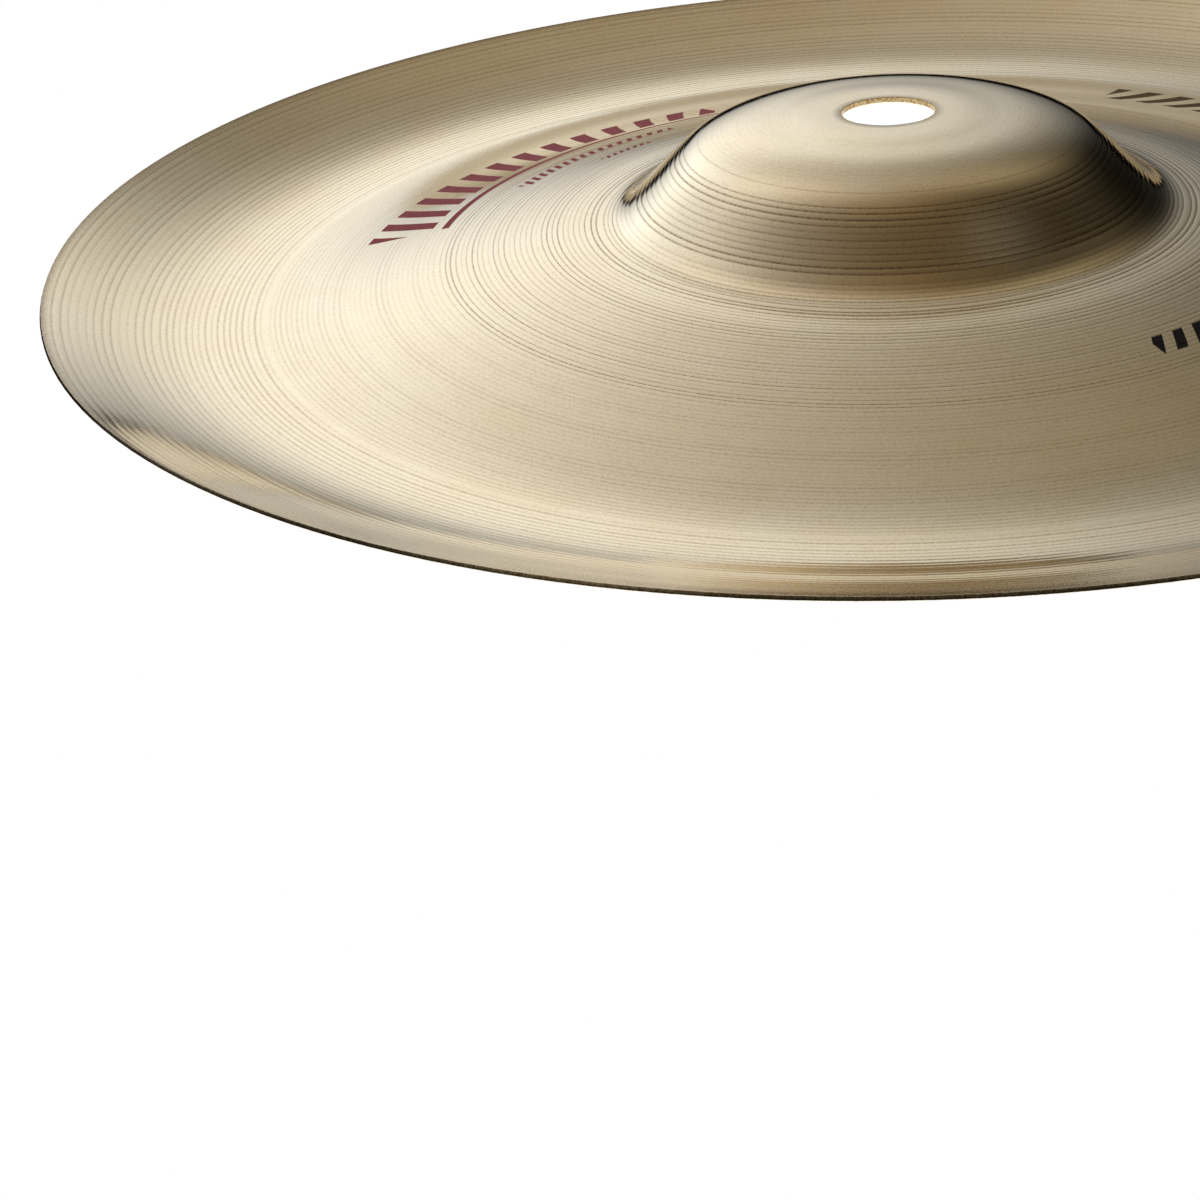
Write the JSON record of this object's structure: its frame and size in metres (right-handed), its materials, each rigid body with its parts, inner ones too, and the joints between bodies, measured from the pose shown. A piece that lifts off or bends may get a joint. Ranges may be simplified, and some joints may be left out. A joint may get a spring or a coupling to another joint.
{
  "type": "cymbal",
  "caption": "Small china-type cymbal: a thin lathed bronze disc with a domed bell, a falling bow and an upturned rim, with a centre hole for a stand.",
  "frame": {"origin": "on the cymbal's axis, level with the lowest ring of its underside, which is the ring it rests on when it lies on a table", "axes": "+Z along the axis towards the top of the bell; the cymbal is a surface of revolution, so +X and +Y are any two directions across it"},
  "size_m": [0.2032, 0.2032, 0.0189],
  "materials": {
    "bronze": "polished bell bronze with fine circular lathe grooves"
  },
  "bodies": {
    "root": {"cymbal": "bronze"}
  },
  "joints": []
}
